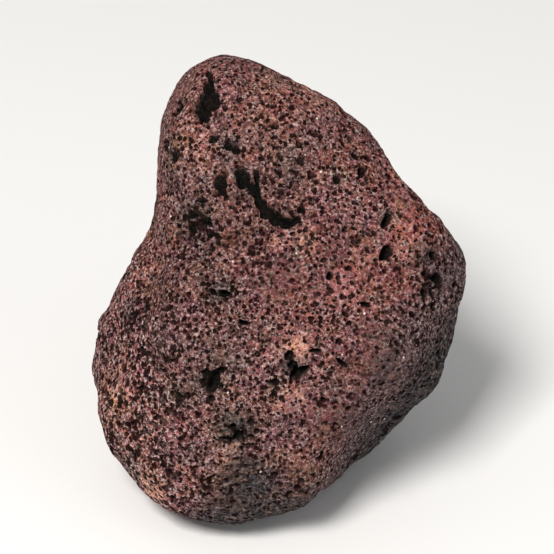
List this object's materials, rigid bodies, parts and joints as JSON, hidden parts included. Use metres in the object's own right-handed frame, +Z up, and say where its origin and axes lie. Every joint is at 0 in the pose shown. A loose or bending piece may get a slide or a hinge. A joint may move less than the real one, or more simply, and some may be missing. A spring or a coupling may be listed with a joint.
{
  "type": "lava rock",
  "caption": "Rounded lump of mauve-brown scoria with a broad leaning face, an undercut right side and open bubble pits all over, standing on a flat, hollowed foot.",
  "frame": {"origin": "on the ground under the middle of the stone's bounding box", "axes": "+Z up from the foot; the broad face looks towards -Y and up; +X to its right, towards the undercut side"},
  "size_m": [0.084, 0.0816, 0.0944],
  "materials": {
    "scoria": "matte"
  },
  "bodies": {
    "root": {"rock": "scoria"}
  },
  "joints": []
}
